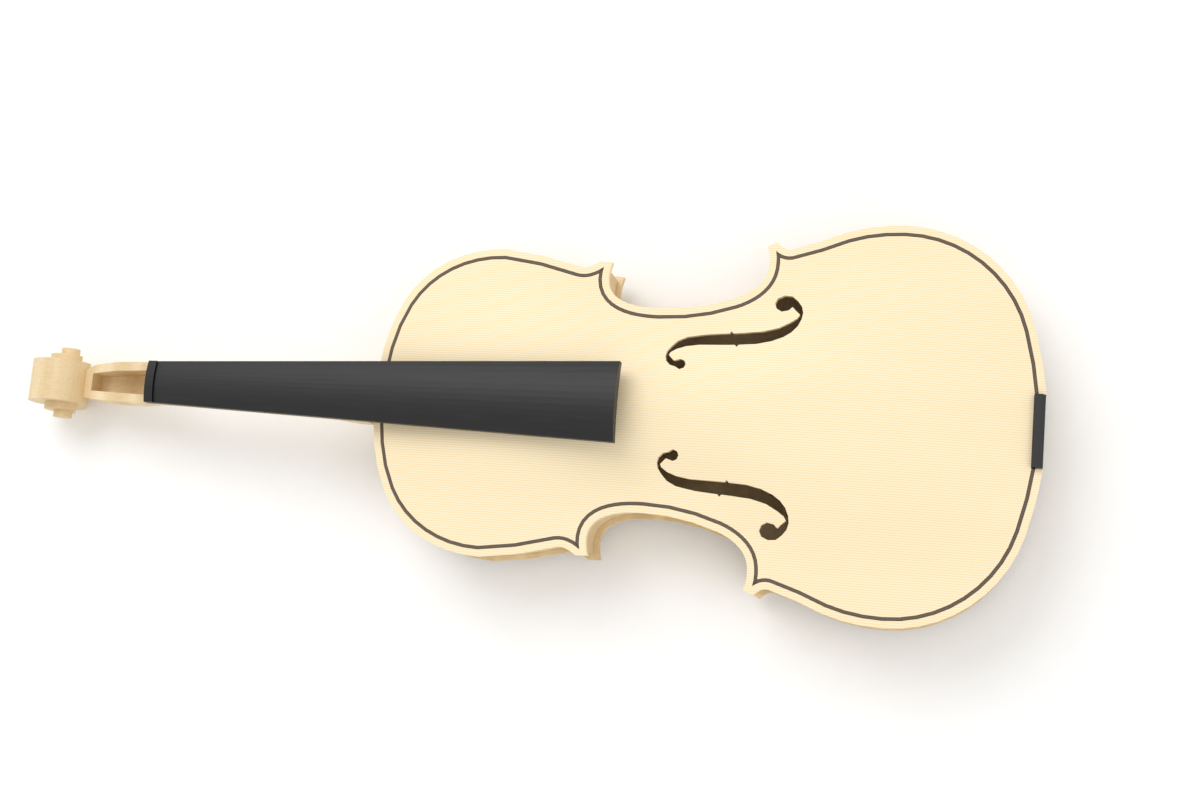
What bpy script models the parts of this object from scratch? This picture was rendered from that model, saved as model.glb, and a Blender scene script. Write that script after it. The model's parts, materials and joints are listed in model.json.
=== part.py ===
"""An unfinished violin: body, neck with scroll, fingerboard, nut and saddle, with no fittings."""
import bpy
import bmesh
import numpy as np
from math import ceil, cos, hypot, pi, radians, sin
from mathutils import Vector
from mathutils.geometry import delaunay_2d_cdt, intersect_line_line_2d

# Lengths are in millimetres, and meshes are written in metres.
# X runs from the belly's upper edge to the tail, Y to the treble side and Z out of the belly.
MM = 0.001
GAP = 0.3

# Body
BODY_LENGTH = 356.0
HEAD_END = -221.3
BACK_GLUE_Z = 15.0
BELLY_GLUE_Z = 46.0
EDGE_THICKNESS = 4.0
BACK_RISE = 11.0
BELLY_RISE = 12.0
PLATE_THICKNESS = 3.2
GLUE_RIM = 8.0
RISE_MARGIN = 8.0
CENTRE_JOINT = GAP / 2
POINT_STEP = 11.0
TURN_STEP = 8.0
BUTTON_RADIUS = 11.0
BUTTON_REACH = 12.0

# Ribs, linings and blocks, as distances in from the plates' edge
RIB_OUT = 2.8
RIB_IN = 3.9
LINING_OUT = RIB_IN + GAP
LINING_IN = LINING_OUT + 2.0
LINING_HEIGHT = 7.0
CORNER_BLOCK_RUN = 22.0
END_BLOCK_HALF = 25.0
END_BLOCK_DEPTH = 20.0

# Purfling, as distances in from the edge
PURFLING_OUT = 4.0
PURFLING_IN = 5.3
PURFLING_DEPTH = 1.7

# Fingerboard, nut, saddle and neck
BOARD_NUT_X = -130.3
BOARD_END_X = 139.1
BOARD_NUT_Z = 50.0
BOARD_END_Z = 72.0
BOARD_NUT_HALF = 11.8
BOARD_END_HALF = 21.25
BOARD_EDGE = 5.0
BOARD_RADIUS = 42.0
BOARD_HOLLOW = 3.0
NUT_LENGTH = 5.5
SADDLE_HALF = 18.6
SADDLE_X = 349.2
TENON_HALF = 12.0
TENON_END = 9.0
BAR_WIDTH = 5.5
BAR_START = 43.0
BAR_END = 313.0

# Scroll: turns as half-width and radii at the back, crown, front and throat
EYE_X = -199.8
EYE_Z = 24.0
EYE_RADIUS = 5.3
EYE_HALF = 20.3
OUTER_TURN = (12.0, (24.0, 21.5, 17.5, 14.0))
MIDDLE_TURN = (16.2, (13.5, 11.5, 9.5, 8.0))

SPRUCE = ("spruce", "FCEFCF", 0.6)
MAPLE = ("maple", "E5CFA5", 0.55)
EBONY = ("ebony", "282828", 0.4)
WILLOW = ("willow", "E8D5AE", 0.7)
DYED_PEAR = ("dyed_pear", "4A3F38", 0.6)

# Outline of the treble side as (x, y, heading in degrees)
UPPER = ((0, 0, 90), (11.3, 52.8, 61.9), (66.2, 84, 0), (108.3, 75.8, -12.5), (119.4, 79.4, 37))
WAIST = ((126, 79, -106), (124.5, 69.6, -87), (153.3, 54.7, 0), (193, 61.7, 20.3), (210.2, 79.2, 84.4),
         (208.8, 90.6, 115))
LOWER = ((214, 93.2, -50), (221.5, 89.5, 10.7), (250, 99.7, 18.8), (280, 104.4, 0), (348.1, 52.4, -74.2),
         (BODY_LENGTH, 0, -90))
# Half-width of the body without its corners, for the arching
WIDTHS = ((0, 14), (11.3, 52.8), (35, 75.5), (66.2, 84), (100, 75), (126, 60), (153.3, 54.7), (193, 62),
          (215, 79), (240, 95), (280, 104.4), (320, 91), (348.1, 52.4), (BODY_LENGTH, 14))
# Treble f-hole, from its upper eye round the outer side to the lower eye and back
F_HOLE = ((165.5, 22.6), (168, 21.1), (170.3, 22.2), (171, 24.1), (170.1, 26.2), (168, 27.1), (164.4, 26),
          (161.4, 29), (162, 30.6), (165, 32.7), (170, 34.5), (177, 35.6), (190, 36), (195.8, 36.2),
          (196.8, 35), (197.8, 36.3), (207, 36.9), (215, 38.7), (221, 41.2), (225, 44), (228, 47.5),
          (229.7, 51.5), (230.2, 55), (229.3, 58.5), (227, 61.5), (224, 64), (220, 64.4), (216.3, 62.8),
          (215, 59.9), (216, 57), (218.8, 55.4), (222.4, 56.1), (224.4, 58.1), (226.3, 56), (228.6, 54),
          (227.5, 52), (224, 49.5), (218, 46.2), (210, 44.1), (200, 43.1), (194.3, 42.7), (193.2, 43.9),
          (192.2, 42.6), (180, 41.6), (170, 39.8), (165, 37.3), (162, 34), (160, 31), (159.6, 28.3),
          (160.3, 25.7), (162.6, 23.4))


def clear_scene():
    for old in list(bpy.data.objects):
        bpy.data.objects.remove(old, do_unlink=True)


def material(kind):
    name, colour, roughness = kind
    found = bpy.data.materials.get(name)
    if found:
        return found
    made = bpy.data.materials.new(name)
    made.use_nodes = True
    shader = made.node_tree.nodes["Principled BSDF"]
    parts = [int(colour[i:i + 2], 16) / 255 for i in (0, 2, 4)]
    linear = [v / 12.92 if v < 0.04045 else ((v + 0.055) / 1.055) ** 2.4 for v in parts]
    shader.inputs["Base Color"].default_value = (*linear, 1)
    shader.inputs["Roughness"].default_value = roughness
    shader.inputs["Metallic"].default_value = 0.0
    return made


def add_piece(name, points, faces, kind, smooth=None):
    """Makes one object, in metres, with the row's origin under the middle of its length."""
    shift = (BODY_LENGTH + HEAD_END) / 2
    mesh = bpy.data.meshes.new(name)
    mesh.from_pydata([((x - shift) * MM, y * MM, z * MM) for x, y, z in points], [], faces)
    work = bmesh.new()
    work.from_mesh(mesh)
    bmesh.ops.recalc_face_normals(work, faces=work.faces)
    work.to_mesh(mesh)
    work.free()
    piece = bpy.data.objects.new(name, mesh)
    bpy.context.scene.collection.objects.link(piece)
    mesh.materials.append(material(kind))
    if smooth:
        mesh.shade_smooth()
        mesh.set_sharp_from_angle(angle=radians(smooth))
    return piece


def loft(name, rings, kind, smooth=None):
    """A closed solid through rings of the same number of points."""
    count = len(rings[0])
    points = [p for ring in rings for p in ring]
    faces = [list(range(count)), list(range(len(points) - count, len(points)))]
    for a in range(len(rings) - 1):
        for i in range(count):
            j = (i + 1) % count
            faces.append((a * count + i, a * count + j, (a + 1) * count + j, (a + 1) * count + i))
    return add_piece(name, points, faces, kind, smooth)


def prism(name, outline, low, high, kind):
    return loft(name, [[(x, y, low) for x, y in outline], [(x, y, high) for x, y in outline]], kind)


def combine(piece, other, operation):
    """Cuts or joins another solid into the piece."""
    change = piece.modifiers.new(operation.lower(), "BOOLEAN")
    change.operation = operation
    change.solver = "EXACT"
    change.object = other
    other.hide_render = True
    other.display_type = "WIRE"


def stations(nodes):
    """Points and inward normals along a curve through nodes with headings."""
    found = []
    for (x0, y0, h0), (x1, y1, h1) in zip(nodes[:-1], nodes[1:]):
        turn = (h1 - h0 + 180) % 360 - 180
        chord = hypot(x1 - x0, y1 - y0)
        reach = chord / (3 * cos(radians(turn) / 4) ** 2)
        a = Vector((x0, y0))
        d = Vector((x1, y1))
        b = a + reach * Vector((cos(radians(h0)), sin(radians(h0))))
        c = d - reach * Vector((cos(radians(h1)), sin(radians(h1))))
        count = max(1, ceil(abs(turn) / TURN_STEP), ceil(chord / (2 * POINT_STEP)))
        for i in range(count + 1):
            if i == 0 and found:
                continue
            t = i / count
            p = a * (1 - t) ** 3 + b * 3 * t * (1 - t) ** 2 + c * 3 * t * t * (1 - t) + d * t ** 3
            v = (b - a) * (1 - t) ** 2 + (c - b) * 2 * t * (1 - t) + (d - c) * t * t
            v.normalize()
            found.append((p, Vector((v.y, -v.x))))
    return found


CURVES = {"upper": stations(UPPER), "waist": stations(WAIST), "lower": stations(LOWER)}


def offset_line(part, inset):
    return [p + n * inset for p, n in CURVES[part]]


def place(line, at):
    i = min(int(at), len(line) - 2)
    return line[i].lerp(line[i + 1], at - i)


def crossing(first, second):
    """Where the end of one line crosses the start of the next, as a position along each, or None."""
    for i in range(len(first) - 2, -1, -1):
        for j in range(len(second) - 1):
            hit = intersect_line_line_2d(first[i], first[i + 1], second[j], second[j + 1])
            if hit:
                along = (hit - first[i]).length / (first[i + 1] - first[i]).length
                past = (hit - second[j]).length / (second[j + 1] - second[j]).length
                return i + along, j + past
    return None


def run_along(line, start, distance):
    """The position that lies a distance along the line from a start position."""
    at = start
    left = abs(distance)
    step = 0.02 if distance > 0 else -0.02
    while left > 0 and 0 <= at + step <= len(line) - 1:
        left -= (place(line, at + step) - place(line, at)).length
        at += step
    return at


def limits(part, inset, tip):
    """First and last position of an offset line between its corners, or the tips where none cross."""
    line = offset_line(part, inset)
    low = 0.0
    high = len(line) - 1.0
    if part in ("waist", "lower"):
        before = offset_line("upper" if part == "waist" else "waist", inset)
        hit = crossing(before, line)
        low = hit[1] if hit else run_along(line, 0.0, tip)
    if part in ("upper", "waist"):
        after = offset_line("waist" if part == "upper" else "lower", inset)
        hit = crossing(line, after)
        high = hit[0] if hit else run_along(line, high, -tip)
    return line, low, high


def stretch(line, low, high):
    """The points of a line between two positions along it."""
    middle = [line[i] for i in range(len(line)) if low + 0.1 < i < high - 0.1]
    return [place(line, low)] + middle + [place(line, high)]


def band(part, outer, inner, trim_low, trim_high, tip=2.7):
    """The outline between two offset lines, each trimmed at its own corners."""
    sides = []
    for inset in (outer, inner):
        line, low, high = limits(part, inset, tip)
        sides.append(stretch(line, run_along(line, low, trim_low), run_along(line, high, -trim_high)))
    return sides[0] + sides[1][::-1]


def half_line(inset):
    """The whole treble side at one inset, joined at its corners."""
    found = []
    for part in ("upper", "waist", "lower"):
        line, low, high = limits(part, inset, 0.0)
        found.append(place(line, low))
        found += [line[i] for i in range(len(line)) if low + 0.1 < i < high - 0.1]
        found.append(place(line, high))
    return found


def edge_distance(x, y):
    """Distance in from the long curves of the outline."""
    best = 1e9
    p = Vector((x, abs(y)))
    for line in CURVES.values():
        for (a, _), (b, _) in zip(line[:-1], line[1:]):
            d = b - a
            t = max(0.0, min(1.0, (p - a).dot(d) / d.length_squared))
            best = min(best, (a + d * t - p).length)
    return best


def half_width(x):
    """A smooth curve through the listed half-widths."""
    xs = [w[0] for w in WIDTHS]
    ys = [w[1] for w in WIDTHS]
    x = max(xs[0], min(xs[-1] - 0.001, x))
    i = max(k for k in range(len(xs) - 1) if xs[k] <= x)
    slopes = np.gradient(ys, xs)
    span = xs[i + 1] - xs[i]
    t = (x - xs[i]) / span
    return ((2 * t ** 3 - 3 * t * t + 1) * ys[i] + (t ** 3 - 2 * t * t + t) * span * slopes[i]
            + (3 * t * t - 2 * t ** 3) * ys[i + 1] + (t ** 3 - t * t) * span * slopes[i + 1])


def arch(x, y):
    """Share of the full rise, 1 on the crest and 0 at the edge."""
    s = min(1.0, abs(2 * x / BODY_LENGTH - 1) * BODY_LENGTH / (BODY_LENGTH - 2 * RISE_MARGIN))
    long_arch = (1 - s ** 2.6) ** 1.15
    u = min(1.0, abs(y) / max(1.0, half_width(x) - RISE_MARGIN))
    return long_arch * (0.5 + 0.5 * cos(pi * u)) ** 0.9


def belly_top(x, y):
    return BELLY_GLUE_Z + EDGE_THICKNESS + BELLY_RISE * arch(x, y)


def back_bottom(x, y):
    return BACK_GLUE_Z - EDGE_THICKNESS - BACK_RISE * arch(x, y)


def hollow(x, y):
    """0 on the rim that is glued, growing to 1 where the plate has its full hollow."""
    t = max(0.0, min(1.0, (edge_distance(x, y) - GLUE_RIM) / 10))
    return t * t * (3 - 2 * t)


def belly_under(x, y):
    return BELLY_GLUE_Z + hollow(x, y) * (belly_top(x, y) - PLATE_THICKNESS - BELLY_GLUE_Z)


def back_inside(x, y):
    return BACK_GLUE_Z + hollow(x, y) * (back_bottom(x, y) + PLATE_THICKNESS - BACK_GLUE_Z)


def inside(p, loop):
    odd = False
    for (x0, y0), (x1, y1) in zip(loop, loop[1:] + loop[:1]):
        if (y0 > p[1]) != (y1 > p[1]) and p[0] < (x1 - x0) * (p[1] - y0) / (y1 - y0) + x0:
            odd = not odd
    return odd


def rim_with_tips():
    """The treble edge from the neck to the tail, with the blunt corner tips."""
    return [p for part in ("upper", "waist", "lower") for p, _ in CURVES[part]]


def centre_line(low, high):
    """Points along the centre joint, from the tail end to the neck end."""
    count = ceil((high - low) / (1.4 * POINT_STEP))
    return [(high + (low - high) * i / count, CENTRE_JOINT) for i in range(count)]


def belly_loop():
    rim = [p for p in rim_with_tips() if TENON_HALF + GAP < p.y and (p.x < 300 or p.y > SADDLE_HALF + GAP)]
    notch = SADDLE_HALF + GAP
    start = [(TENON_END + GAP, CENTRE_JOINT), (TENON_END + GAP, TENON_HALF + GAP), (0.6, TENON_HALF + GAP)]
    end = [(355.0, notch), (SADDLE_X - GAP, notch)] + centre_line(TENON_END + GAP, SADDLE_X - GAP)
    return start + [tuple(p) for p in rim] + end


def back_loop():
    rim = [p for p in rim_with_tips() if p.y > BUTTON_RADIUS + 1]
    button = [(-BUTTON_REACH, CENTRE_JOINT)]
    for i in range(1, 7):
        a = radians(90 * i / 6)
        button.append((-BUTTON_REACH + BUTTON_RADIUS * (1 - cos(a)), CENTRE_JOINT + BUTTON_RADIUS * sin(a)))
    tail = centre_line(-BUTTON_REACH, BODY_LENGTH)
    return button + [(0.4, BUTTON_RADIUS)] + [tuple(p) for p in rim] + tail


def add_plate(name, side, loop, holes, outer, inner, groove_depth, kind):
    """One half of a plate: its outer surface with the purfling groove, and its hollowed inside."""
    points = [Vector(p) for p in loop]
    edges = [(i, (i + 1) % len(loop)) for i in range(len(loop))]
    for hole in holes:
        first = len(points)
        points += [Vector(p) for p in hole]
        edges += [(first + i, first + (i + 1) % len(hole)) for i in range(len(hole))]
    bounds = (PURFLING_OUT - GAP, PURFLING_IN + GAP)
    for inset in bounds:
        line = half_line(inset)
        line = [Vector((line[0].x, -1))] + line + [Vector((line[-1].x, -1))]
        first = len(points)
        points += line
        edges += [(first + i, first + i + 1) for i in range(len(line) - 1)]
    rows = int(BODY_LENGTH / POINT_STEP) + 1
    for i in range(rows):
        for j in range(int(110 / POINT_STEP)):
            x = (i + 0.5 * (j % 2)) * POINT_STEP
            y = 5 + j * POINT_STEP
            near = [hypot(x - a, y - b) for hole in holes for a, b in hole]
            if not inside((x, y), loop) or edge_distance(x, y) < 9 or min(near, default=99) < 4.5:
                continue
            if not any(inside((x, y), list(hole)) for hole in holes):
                points.append(Vector((x, y)))
    flat, _, triangles, _, _, _ = delaunay_2d_cdt(points, edges, [], 0, 1e-4)
    kept = []
    for tri in triangles:
        c = sum((flat[i] for i in tri), Vector((0, 0))) / 3
        if inside(c, loop) and not any(inside(c, list(hole)) for hole in holes):
            sunk = bounds[0] < edge_distance(c.x, c.y) < bounds[1] and c.x > PURFLING_OUT / 2
            kept.append((tri, sunk))
    vertices = []
    index = {}

    def vertex(i, level):
        if (i, level) not in index:
            x, y = flat[i]
            z = inner(x, y) if level == "in" else outer(x, y)
            if level == "groove":
                z += groove_depth
            index[(i, level)] = len(vertices)
            vertices.append((x, y * side, z))
        return index[(i, level)]

    faces = []
    owners = {}
    for tri, sunk in kept:
        level = "groove" if sunk else "out"
        faces.append([vertex(i, level) for i in tri])
        faces.append([vertex(i, "in") for i in reversed(tri)])
        for a, b in zip(tri, tri[1:] + tri[:1]):
            owners.setdefault((min(a, b), max(a, b)), []).append((level, a, b))
    for uses in owners.values():
        level, a, b = uses[0]
        if len(uses) == 1:
            near = [vertex(a, k) for k in (level, "groove", "in") if k != "groove" or (a, k) in index]
            far = [vertex(b, k) for k in (level, "groove", "in") if k != "groove" or (b, k) in index]
            near = sorted(set(near), key=near.index)
            far = sorted(set(far), key=far.index)
            faces += [[far[0], near[i], near[i + 1]] for i in range(len(near) - 1)]
            faces += [[far[i], near[-1], far[i + 1]] for i in range(len(far) - 1)]
        elif uses[1][0] != level:
            other = uses[1][0]
            faces.append([vertex(b, level), vertex(a, level), vertex(a, other), vertex(b, other)])
    return add_piece(name, vertices, faces, kind)


def bent_strip(name, side, outline, low, high, kind):
    """A strip with a flat outline whose lower and upper faces follow two surfaces."""
    count = len(outline)
    corners = [Vector(p) for p in outline]
    flat, _, triangles, _, _, _ = delaunay_2d_cdt(corners, [], [list(range(count))], 1, 1e-5)
    points = [(x, y * side, low(x, y)) for x, y in corners] + [(x, y * side, high(x, y)) for x, y in corners]
    match = [min(range(count), key=lambda k: (corners[k] - p).length) for p in flat]
    faces = []
    for tri in triangles:
        tri = [match[i] for i in tri]
        faces.append(tri[::-1])
        faces.append([i + count for i in tri])
    for i in range(count):
        j = (i + 1) % count
        faces.append((i, j, j + count, i + count))
    return add_piece(name, points, faces, kind)


def flat_strip(name, side, outline, low, high, kind):
    return prism(name, [(p.x, p.y * side) for p in outline], low, high, kind)


def ends(part, at_neck, at_tail):
    """How much of a side's curve is left off at each end, in millimetres."""
    low = at_neck if part == "upper" else GAP
    high = at_tail if part == "lower" else GAP
    return low, high


def add_ribs(side, hand):
    for part in ("upper", "waist", "lower"):
        low, high = ends(part, TENON_HALF + GAP, CENTRE_JOINT)
        flat_strip(f"rib_{part}_{hand}", side, band(part, RIB_OUT, RIB_IN, low, high),
                   BACK_GLUE_Z + GAP, BELLY_GLUE_Z - GAP, MAPLE)


def add_linings(side, hand):
    run = CORNER_BLOCK_RUN + 1
    for part in ("upper", "waist", "lower"):
        low = END_BLOCK_HALF + 2 if part == "upper" else run
        high = END_BLOCK_HALF + 2 if part == "lower" else run
        outline = band(part, LINING_OUT, LINING_IN, low, high)
        top = BELLY_GLUE_Z - GAP
        base = BACK_GLUE_Z + GAP
        flat_strip(f"lining_belly_{part}_{hand}", side, outline, top - LINING_HEIGHT, top, WILLOW)
        flat_strip(f"lining_back_{part}_{hand}", side, outline, base, base + LINING_HEIGHT, WILLOW)


def add_corner_blocks(side, hand):
    for name, part, after in (("upper", "upper", "waist"), ("lower", "waist", "lower")):
        line, _, high = limits(part, LINING_OUT, 0.0)
        next_line, low, _ = limits(after, LINING_OUT, 0.0)
        start = run_along(line, high, -CORNER_BLOCK_RUN)
        stop = run_along(next_line, low, CORNER_BLOCK_RUN)
        outline = [place(line, start)] + [line[i] for i in range(len(line)) if start + 0.1 < i < high - 0.1]
        outline.append(place(line, high))
        outline += [next_line[i] for i in range(len(next_line)) if low + 0.1 < i < stop - 0.1]
        outline.append(place(next_line, stop))
        prism(f"corner_block_{name}_{hand}", [(p.x, p.y * side) for p in outline],
              BACK_GLUE_Z + GAP, BELLY_GLUE_Z - GAP, WILLOW)


def add_end_blocks():
    low = BACK_GLUE_Z + GAP
    high = BELLY_GLUE_Z - GAP
    upper = [p for p in offset_line("upper", LINING_OUT) if TENON_HALF + 2 < p.y < END_BLOCK_HALF]
    slot = TENON_HALF + GAP
    side = [(TENON_END + GAP, slot), (LINING_OUT + 1.1, slot)] + [tuple(p) for p in upper]
    side += [(upper[-1].x + 1.5 if upper else LINING_OUT + 4, END_BLOCK_HALF), (END_BLOCK_DEPTH, END_BLOCK_HALF)]
    outline = side + [(x, -y) for x, y in reversed(side)]
    prism("top_block", outline, low, high, WILLOW)
    lower = [p for p in offset_line("lower", LINING_OUT) if p.y < END_BLOCK_HALF]
    reach = BODY_LENGTH - LINING_OUT
    side = [(BODY_LENGTH - END_BLOCK_DEPTH, END_BLOCK_HALF), (reach - 3.2, END_BLOCK_HALF)]
    side += [tuple(p) for p in lower if p.y > 0.1]
    outline = side + [(reach, 0)] + [(x, -y) for x, y in reversed(side)]
    prism("bottom_block", outline, low, high, WILLOW)


def add_purfling(side, hand):
    for part in ("upper", "waist", "lower"):
        low, high = ends(part, TENON_HALF + 2 * GAP, SADDLE_HALF + 2 * GAP)
        outline = band(part, PURFLING_OUT, PURFLING_IN, low, high)
        bent_strip(f"purfling_belly_{part}_{hand}", side, outline,
                   lambda x, y: belly_top(x, y) - PURFLING_DEPTH, belly_top, DYED_PEAR)
        low, high = ends(part, CENTRE_JOINT, CENTRE_JOINT)
        outline = band(part, PURFLING_OUT, PURFLING_IN, low, high)
        bent_strip(f"purfling_back_{part}_{hand}", side, outline, back_bottom,
                   lambda x, y: back_bottom(x, y) + PURFLING_DEPTH, DYED_PEAR)


def add_bass_bar():
    rings = []
    for i in range(19):
        x = BAR_START + (BAR_END - BAR_START) * i / 18
        centre = -14.5 - 3.5 * (x - BAR_START) / (BAR_END - BAR_START)
        depth = 3 + 8.5 * sin(pi * i / 18)
        tops = [belly_under(x, centre + s * BAR_WIDTH / 2) - GAP for s in (-1, 1)]
        base = min(tops) - depth
        left = centre - BAR_WIDTH / 2
        right = centre + BAR_WIDTH / 2
        rings.append([(x, left, base), (x, right, base), (x, right, tops[1]), (x, left, tops[0])])
    loft("bass_bar", rings, SPRUCE)


def board(x):
    """Half-width and edge height of the fingerboard at a place along it."""
    t = (x - BOARD_NUT_X) / (BOARD_END_X - BOARD_NUT_X)
    half = BOARD_NUT_HALF + (BOARD_END_HALF - BOARD_NUT_HALF) * t
    return half, BOARD_NUT_Z + (BOARD_END_Z - BOARD_NUT_Z) * t


def add_fingerboard():
    rings = []
    for x in (BOARD_NUT_X, -60, 6, 14, 60, 100, BOARD_END_X):
        half, edge = board(x)
        base = edge - BOARD_EDGE
        scoop = BOARD_HOLLOW if x > 10 else 0.0
        drop = BOARD_RADIUS - (BOARD_RADIUS ** 2 - half ** 2) ** 0.5
        ring = [(x, half * k, base + scoop * (1 - k * k)) for k in (1, 0.8, 0.4, 0, -0.4, -0.8, -1)]
        for i in range(13):
            y = half * (i / 6 - 1)
            ring.append((x, y, edge + drop - BOARD_RADIUS + (BOARD_RADIUS ** 2 - y * y) ** 0.5))
        rings.append(ring)
    loft("fingerboard", rings, EBONY, 40)


def add_nut():
    rings = []
    for x, extra in ((BOARD_NUT_X - GAP - NUT_LENGTH, 0.2), (BOARD_NUT_X - GAP, 1.2)):
        half, edge = board(BOARD_NUT_X)
        base = edge - BOARD_EDGE - 0.4
        ring = [(x, half, base), (x, -half, base)]
        for i in range(9):
            y = half * (i / 4 - 1)
            ring.append((x, y, edge + extra + 1.7 * (1 - (y / half) ** 2)))
        rings.append(ring)
    loft("nut", rings, EBONY)


def add_saddle():
    rings = []
    for x, top in ((SADDLE_X, 53.0), (SADDLE_X + 3.2, 54.0), (354.6, 51.5)):
        rings.append([(x, -SADDLE_HALF, BELLY_GLUE_Z + GAP), (x, SADDLE_HALF, BELLY_GLUE_Z + GAP),
                      (x, SADDLE_HALF, top), (x, -SADDLE_HALF, top)])
    loft("saddle", rings, EBONY)


def neck_ring(x, half, top, bottom, square=0.0):
    """A D-shaped section: flat on top, round or squarer below."""
    ring = [(x, half, top), (x, -half, top)]
    for i in range(1, 14):
        a = radians(180 * i / 13) if i < 13 else pi
        power = 1 - 0.6 * square
        c = -cos(a)
        s = sin(a)
        y = half * (1 if c > 0 else -1) * abs(c) ** power
        z = top - 2 - (top - 2 - bottom) * abs(s) ** power
        ring.append((x, y, z))
    return ring


def add_turn(name, half, radii):
    """One turn of the volute as a slab whose radius shrinks from the back round to the throat."""
    outline = []
    for i in range(28):
        a = 270 * i / 27
        k = min(int(a / 90), 2)
        r = radii[k] + (radii[k + 1] - radii[k]) * (a / 90 - k)
        at = radians(270 - a)
        outline.append((EYE_X + r * cos(at), EYE_Z + r * sin(at)))
    rings = [[(x, y, z) for x, z in outline] for y in (-half, half)]
    return loft(name, rings, MAPLE)


def add_neck():
    """Tenon, heel, shaft and pegbox as one loft, joined with the scroll's turns."""
    slope = (BOARD_END_Z - BOARD_NUT_Z) / (BOARD_END_X - BOARD_NUT_X)

    def plane(x):
        return BOARD_NUT_Z - BOARD_EDGE - GAP + slope * (x - BOARD_NUT_X)

    nut_floor = BOARD_NUT_Z - BOARD_EDGE - 0.4 - GAP
    rings = [
        neck_ring(EYE_X + 4, 7.0, 30.0, 3.0, 1),
        neck_ring(-186, 8.0, 28.5, 6.5, 1),
        neck_ring(-176, 10.0, 36.0, 11.5, 1),
        neck_ring(-160, 11.4, 41.5, 17.0, 1),
        neck_ring(-146, 11.8, 43.6, 20.5, 1),
        neck_ring(BOARD_NUT_X - GAP - NUT_LENGTH - 0.6, 11.8, nut_floor, 23.5, 0.7),
        neck_ring(-128, 11.9, nut_floor, 29.5, 0.2),
        neck_ring(-110, board(-110)[0], plane(-110), 31.5),
        neck_ring(-70, board(-70)[0], plane(-70), 34.0),
        neck_ring(-30, board(-30)[0], plane(-30), 36.0),
        neck_ring(-20, board(-20)[0], plane(-20), 33.0),
        neck_ring(-14, board(-14)[0], plane(-14), 24.0, 0.4),
        neck_ring(-11, board(-11)[0], plane(-11), BACK_GLUE_Z + GAP + 0.5, 0.4),
        neck_ring(-9, board(-9)[0], plane(-9), BACK_GLUE_Z + GAP, 0.4),
        neck_ring(-GAP, board(0)[0], plane(0), BACK_GLUE_Z + GAP, 0.4),
    ]
    neck = loft("neck", rings, MAPLE, 35)
    low = BACK_GLUE_Z + GAP
    outline = [(-2, -TENON_HALF), (TENON_END, -TENON_HALF), (TENON_END, TENON_HALF), (-2, TENON_HALF)]
    combine(neck, prism("tenon_guide", outline, low, plane(-2) - 0.5, MAPLE), "UNION")
    combine(neck, add_turn("outer_turn_guide", *OUTER_TURN), "UNION")
    combine(neck, add_turn("middle_turn_guide", *MIDDLE_TURN), "UNION")
    eye = [(EYE_X + EYE_RADIUS * cos(2 * pi * i / 20), EYE_Z + EYE_RADIUS * sin(2 * pi * i / 20))
           for i in range(20)]
    combine(neck, loft("eye_guide", [[(x, y, z) for x, z in eye] for y in (-EYE_HALF, EYE_HALF)], MAPLE), "UNION")
    trough = []
    for x, half, floor, top in ((-178, 5.0, 23, 60), (-160, 6.3, 23.0, 60), (-138.5, 7.0, 28, 60)):
        trough.append([(x, -half, floor), (x, half, floor), (x, half, top), (x, -half, top)])
    combine(neck, loft("trough_guide", trough, MAPLE), "DIFFERENCE")
    return neck


def add_plates(side, hand):
    add_plate(f"belly_{hand}", side, belly_loop(), [F_HOLE], belly_top, belly_under, -2.0, SPRUCE)
    add_plate(f"back_{hand}", side, back_loop(), [], back_bottom, back_inside, 2.0, MAPLE)


def main():
    clear_scene()
    for side, hand in ((1, "treble"), (-1, "bass")):
        add_plates(side, hand)
        add_ribs(side, hand)
        add_linings(side, hand)
        add_corner_blocks(side, hand)
        add_purfling(side, hand)
    add_end_blocks()
    add_bass_bar()
    add_fingerboard()
    add_nut()
    add_saddle()
    add_neck()


main()
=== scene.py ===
import json
from math import pi, radians

import bmesh
import bpy
from mathutils import Matrix, Vector


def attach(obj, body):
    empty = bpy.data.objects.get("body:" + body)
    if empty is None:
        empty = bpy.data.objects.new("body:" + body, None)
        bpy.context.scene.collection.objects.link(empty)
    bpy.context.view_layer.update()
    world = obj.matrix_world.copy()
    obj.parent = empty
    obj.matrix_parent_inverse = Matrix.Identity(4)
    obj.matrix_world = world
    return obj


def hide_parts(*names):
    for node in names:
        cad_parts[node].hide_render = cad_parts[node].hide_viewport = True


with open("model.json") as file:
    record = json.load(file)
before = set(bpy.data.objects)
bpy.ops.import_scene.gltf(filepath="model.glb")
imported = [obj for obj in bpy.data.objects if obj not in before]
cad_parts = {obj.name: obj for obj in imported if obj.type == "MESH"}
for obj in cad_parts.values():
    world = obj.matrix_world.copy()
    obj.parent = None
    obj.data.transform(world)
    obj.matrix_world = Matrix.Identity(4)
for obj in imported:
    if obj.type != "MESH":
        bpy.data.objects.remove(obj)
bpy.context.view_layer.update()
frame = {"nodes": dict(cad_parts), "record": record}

MM = 0.001
# The row's origin lies this far along the body from the belly's upper edge.
ORIGIN_X = 67.35 * MM

# The camera of the photograph: its place over the belly and its own right, down and forward.
EYE = Vector((305.4 * MM - ORIGIN_X, -126.4 * MM, 895.0 * MM))
RIGHT = Vector((0.97709, 0.08607, -0.19464))
DOWN = Vector((0.05428, -0.98511, -0.16311))
FORWARD = Vector((-0.20578, 0.14880, -0.96722))
SENSOR_MM = 36.0
LENS_MM = 49.28
CLIP_START = 10 * MM

# The plates' halves: points nearer the centre than the reach are drawn onto the centre joint.
JOINT_REACH = 0.2 * MM
ON_JOINT = 0.001 * MM
MERGE = 0.01 * MM
SMOOTH_ANGLE = 32
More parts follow.
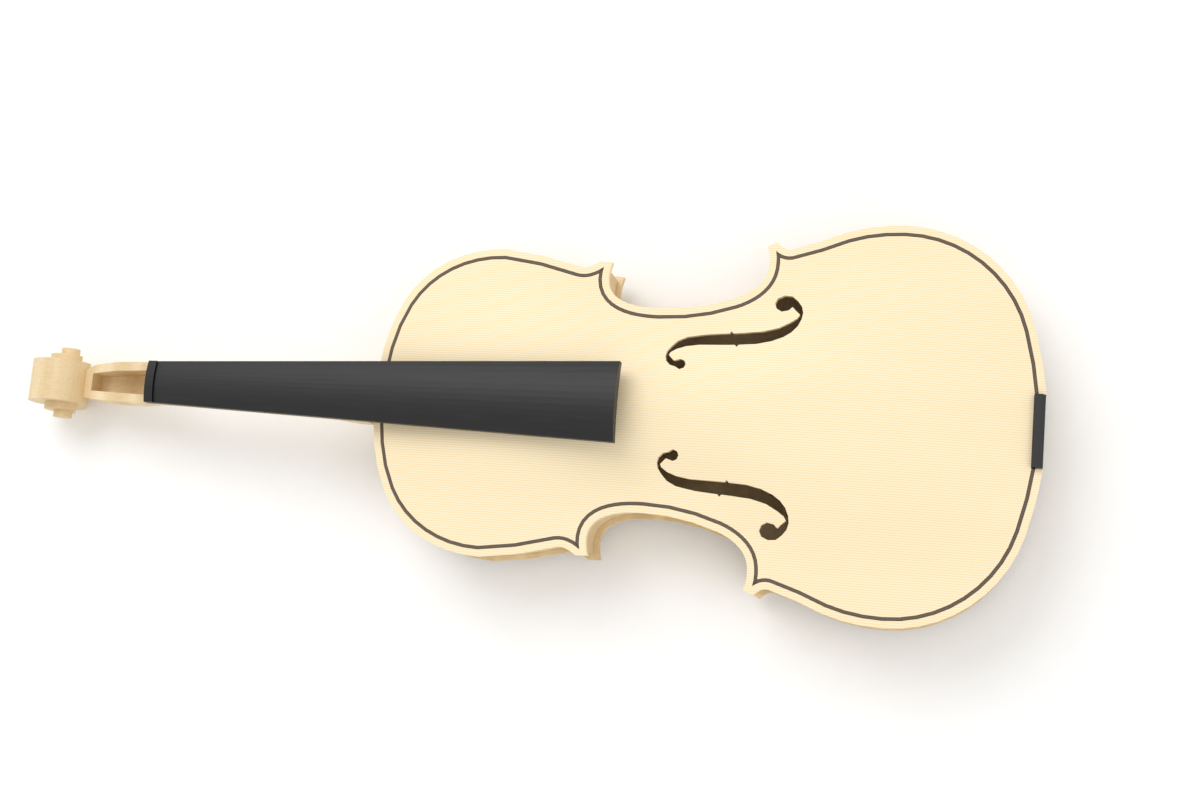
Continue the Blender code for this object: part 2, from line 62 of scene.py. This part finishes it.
# The plates' walls and their level rim are shaded flat, and the arch between them smooth.
WALL_SLOPE = 0.5
LEVEL_SLOPE = 0.99999

# The patterns' real sizes in millimetres along X, Y and Z. The plates, neck and board have their grain
# along X.
SPRUCE_TONE = (250, 33.33, 250)
MAPLE_FLAME = (10.53, 100, 100)
MAPLE_FLECK = (5.556, 0.6667, 1.111)
EBONY_STREAK = (71.43, 2.381, 2.381)
EBONY_PORE = (6.25, 0.3846, 0.3846)
WILLOW_FUZZ = (33.33, 33.33, 2)
PEAR_GRAIN = (0.5556, 0.5556, 0.5556)
PAPER_GRAIN = (25, 25, 25)
WINTER_LINE_SPACING = 1.2823 * MM
# The winter lines waver slowly along the grain, and hardly at all through the thickness.
WINTER_LINE_WAVER = (0.6, 1.0, 0.15)

# How deep each surface's relief is.
WINTER_LINE_RELIEF = 0.04 * MM
FLECK_RELIEF = 0.03 * MM
PORE_RELIEF = 0.03 * MM
FUZZ_RELIEF = 0.05 * MM
PEAR_RELIEF = 0.02 * MM

WOOD_IOR = 1.5
MULTIPLY = {"data_type": "RGBA", "blend_type": "MULTIPLY"}

# The studio: a wide paper floor in metres, an even white surround and two round soft lamps.
FLOOR_SIZE = 8.0
SURROUND_STRENGTH = 0.75
# Each lamp's diameter in metres, power in watts and place in metres.
LAMPS = {"key": (1.2, 10.5, (-0.5, 0.8, 1.3)), "fill": (1.5, 4.0, (0.9, -0.6, 1.3))}


def linear(code):
    """An sRGB hex colour as linear values."""
    parts = [int(code[i:i + 2], 16) / 255 for i in (0, 2, 4)]
    return tuple(v / 12.92 if v < 0.04045 else ((v + 0.055) / 1.055) ** 2.4 for v in parts) + (1.0,)


def add(tree, kind, output, settings=None, links=None, values=None, stops=()):
    """Adds a node with its settings, links, values and (position, hex colour) stops; gives its output."""
    node = tree.nodes.new(kind)
    for key, value in (settings or {}).items():
        setattr(node, key, value)
    sockets = {socket.identifier: socket for socket in node.inputs}
    for key, value in (values or {}).items():
        sockets[key].default_value = value
    for key, source in (links or {}).items():
        tree.links.new(source, sockets[key])
    if stops:
        elements = node.color_ramp.elements
        while len(elements) < len(stops):
            elements.new(0.5)
        for element, (position, code) in zip(elements, stops):
            element.position = position
            element.color = linear(code)
    return next(socket for socket in node.outputs if socket.identifier == output)


def begin(name, roughness):
    """A new material, with its node tree and the object's own coordinates in metres."""
    made = bpy.data.materials.new(name)
    made.use_nodes = True
    shader = made.node_tree.nodes["Principled BSDF"]
    shader.inputs["Roughness"].default_value = roughness
    shader.inputs["IOR"].default_value = WOOD_IOR
    place = add(made.node_tree, "ShaderNodeTexCoord", "Object")
    return made, made.node_tree, place


def pattern(tree, place, sizes, detail=3.0):
    """Soft mottling whose features have these real sizes in millimetres along X, Y and Z."""
    scale = [1 / (size * MM) for size in sizes]
    spread = add(tree, "ShaderNodeMapping", "Vector", links={"Vector": place}, values={"Scale": scale})
    values = {"Scale": 1.0, "Detail": detail}
    return add(tree, "ShaderNodeTexNoise", "Fac", links={"Vector": spread}, values=values)


def dress(made, colour, height, relief, strength):
    """Gives a material its colour, and a relief of a real depth in metres."""
    tree = made.node_tree
    shader = tree.nodes["Principled BSDF"]
    values = {"Distance": relief, "Strength": strength}
    raised = add(tree, "ShaderNodeBump", "Normal", links={"Height": height}, values=values)
    tree.links.new(colour, shader.inputs["Base Color"])
    tree.links.new(raised, shader.inputs["Normal"])
    return made


def spruce():
    """Quarter-sawn spruce, planed and bare: straight darker winter lines on pale cream."""
    made, tree, place = begin("spruce_quarter_sawn", roughness=0.62)
    waver = {"Scale": WINTER_LINE_WAVER}
    along = add(tree, "ShaderNodeMapping", "Vector", links={"Vector": place}, values=waver)
    # A wave of scale 1 repeats every pi / 10 metres.
    waves = {"Scale": pi / 10 / WINTER_LINE_SPACING, "Distortion": 0.6, "Detail": 2.0, "Detail Scale": 0.6}
    lines = add(tree, "ShaderNodeTexWave", "Fac", {"bands_direction": "Y"}, {"Vector": along}, waves)
    stripes = [(0.0, "F1DCAF"), (0.25, "F8E8C6"), (1.0, "FBEFD5")]
    striped = add(tree, "ShaderNodeValToRGB", "Color", links={"Fac": lines}, stops=stripes)
    drift = pattern(tree, place, SPRUCE_TONE)
    tones = [(0.3, "F7E7C4"), (0.7, "FDF1D8")]
    toned = add(tree, "ShaderNodeValToRGB", "Color", links={"Fac": drift}, stops=tones)
    links = {"A_Color": striped, "B_Color": toned}
    colour = add(tree, "ShaderNodeMix", "Result_Color", MULTIPLY, links, {"Factor_Float": 0.35})
    return dress(made, colour, lines, WINTER_LINE_RELIEF, strength=0.25)


def maple():
    """Bare scraped maple: warm tan with faint flame bands across the grain and short ray flecks."""
    made, tree, place = begin("maple_scraped", roughness=0.55)
    flame = pattern(tree, place, MAPLE_FLAME, detail=2.0)
    bands = [(0.3, "DCC192"), (0.7, "EED9B0")]
    banded = add(tree, "ShaderNodeValToRGB", "Color", links={"Fac": flame}, stops=bands)
    fleck = pattern(tree, place, MAPLE_FLECK, detail=2.0)
    spots = [(0.35, "D3B380"), (0.55, "FFFFFF")]
    spotted = add(tree, "ShaderNodeValToRGB", "Color", links={"Fac": fleck}, stops=spots)
    links = {"A_Color": banded, "B_Color": spotted}
    colour = add(tree, "ShaderNodeMix", "Result_Color", MULTIPLY, links, {"Factor_Float": 0.18})
    return dress(made, colour, fleck, FLECK_RELIEF, strength=0.25)


def ebony():
    """Scraped ebony: near black, with faint brown-grey streaks along the grain and a satin shine."""
    made, tree, place = begin("ebony_satin", roughness=0.5)
    streak = pattern(tree, place, EBONY_STREAK, detail=4.0)
    tones = [(0.35, "0E0E0E"), (0.62, "141313"), (0.8, "241D18")]
    colour = add(tree, "ShaderNodeValToRGB", "Color", links={"Fac": streak}, stops=tones)
    pores = pattern(tree, place, EBONY_PORE, detail=2.0)
    return dress(made, colour, pores, PORE_RELIEF, strength=0.3)


def willow():
    """Bare willow of the blocks and linings, pale and slightly fuzzy."""
    made, tree, place = begin("willow_bare", roughness=0.75)
    fuzz = pattern(tree, place, WILLOW_FUZZ)
    tones = [(0.3, "DEC89C"), (0.7, "EBDAB4")]
    colour = add(tree, "ShaderNodeValToRGB", "Color", links={"Fac": fuzz}, stops=tones)
    return dress(made, colour, fuzz, FUZZ_RELIEF, strength=0.3)


def purfling():
    """Dyed pearwood strips let into the plates, dark brown-grey and dull."""
    made, tree, place = begin("pearwood_dyed", roughness=0.65)
    grain = pattern(tree, place, PEAR_GRAIN)
    tones = [(0.3, "55473C"), (0.7, "6B5B4D")]
    colour = add(tree, "ShaderNodeValToRGB", "Color", links={"Fac": grain}, stops=tones)
    return dress(made, colour, grain, PEAR_RELIEF, strength=0.2)


def paint(node, finish):
    """Gives a node's object its finish."""
    piece = frame["nodes"][node]
    piece.data.materials.clear()
    piece.data.materials.append(finish)


def join_plate(name, halves, finish):
    """One plate from its two halves, with the centre joint closed to a glued seam and smooth arching."""
    work = bmesh.new()
    for half in halves:
        work.from_mesh(frame["nodes"][half].data)
    seam = [v for v in work.verts if abs(v.co.y) < JOINT_REACH]
    for vertex in seam:
        vertex.co.y = 0.0
    walls = [f for f in work.faces if all(abs(v.co.y) < ON_JOINT for v in f.verts)]
    bmesh.ops.delete(work, geom=walls, context="FACES")
    bmesh.ops.remove_doubles(work, verts=work.verts, dist=MERGE)
    bmesh.ops.recalc_face_normals(work, faces=work.faces)
    mesh = bpy.data.meshes.new(name)
    work.to_mesh(mesh)
    work.free()
    mesh.shade_smooth()
    mesh.set_sharp_from_angle(angle=radians(SMOOTH_ANGLE))
    for face in mesh.polygons:
        face.use_smooth = WALL_SLOPE < abs(face.normal.z) < LEVEL_SLOPE
    mesh.materials.append(finish)
    plate = bpy.data.objects.new(name, mesh)
    bpy.context.scene.collection.objects.link(plate)
    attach(plate, "root")
    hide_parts(*halves)


def add_camera():
    """The photograph's camera, looking down on the belly from over its tail and bass side."""
    data = bpy.data.cameras.new("view")
    data.sensor_width = SENSOR_MM
    data.lens = LENS_MM
    data.clip_start = CLIP_START
    camera = bpy.data.objects.new("view", data)
    bpy.context.scene.collection.objects.link(camera)
    columns = Matrix((RIGHT, -DOWN, -FORWARD)).transposed()
    camera.matrix_world = Matrix.Translation(EYE) @ columns.to_4x4()
    bpy.context.scene.camera = camera


def add_lamp(name, size, power, position):
    """A round soft lamp that faces the middle of the violin."""
    data = bpy.data.lights.new(name, "AREA")
    data.shape = "DISK"
    data.size = size
    data.energy = power
    lamp = bpy.data.objects.new(name, data)
    bpy.context.scene.collection.objects.link(lamp)
    lamp.location = position
    lamp.rotation_euler = (-Vector(position)).to_track_quat("-Z", "Y").to_euler()


def add_floor():
    """A plain white table that shows white to the eye and keeps the violin's soft shadow."""
    bpy.ops.mesh.primitive_plane_add(size=FLOOR_SIZE, location=(0, 0, 0))
    floor = bpy.context.active_object
    floor.name = "studio_floor"
    made, tree, place = begin("floor_paper", roughness=0.9)
    tones = [(0.0, "FBFBFB"), (1.0, "FFFFFF")]
    grain = pattern(tree, place, PAPER_GRAIN)
    colour = add(tree, "ShaderNodeValToRGB", "Color", links={"Fac": grain}, stops=tones)
    tree.links.new(colour, tree.nodes["Principled BSDF"].inputs["Base Color"])
    floor.data.materials.append(made)


def add_world():
    """An even white surround."""
    world = bpy.data.worlds.new("studio")
    bpy.context.scene.world = world
    world.use_nodes = True
    surround = world.node_tree.nodes["Background"]
    surround.inputs["Color"].default_value = (1, 1, 1, 1)
    surround.inputs["Strength"].default_value = SURROUND_STRENGTH


finishes = {
    "spruce": spruce(),
    "maple": maple(),
    "ebony": ebony(),
    "willow": willow(),
    "purfling": purfling(),
}
for entry in frame["record"]["subparts"]:
    paint(entry["node"], finishes[entry["material_slot"]])

join_plate("belly", ("belly_treble", "belly_bass"), finishes["spruce"])
join_plate("back", ("back_treble", "back_bass"), finishes["maple"])
add_camera()
add_floor()
add_world()
for lamp_name, (diameter, watts, spot) in LAMPS.items():
    add_lamp(lamp_name, diameter, watts, spot)
bpy.context.scene.view_settings.view_transform = "Standard"
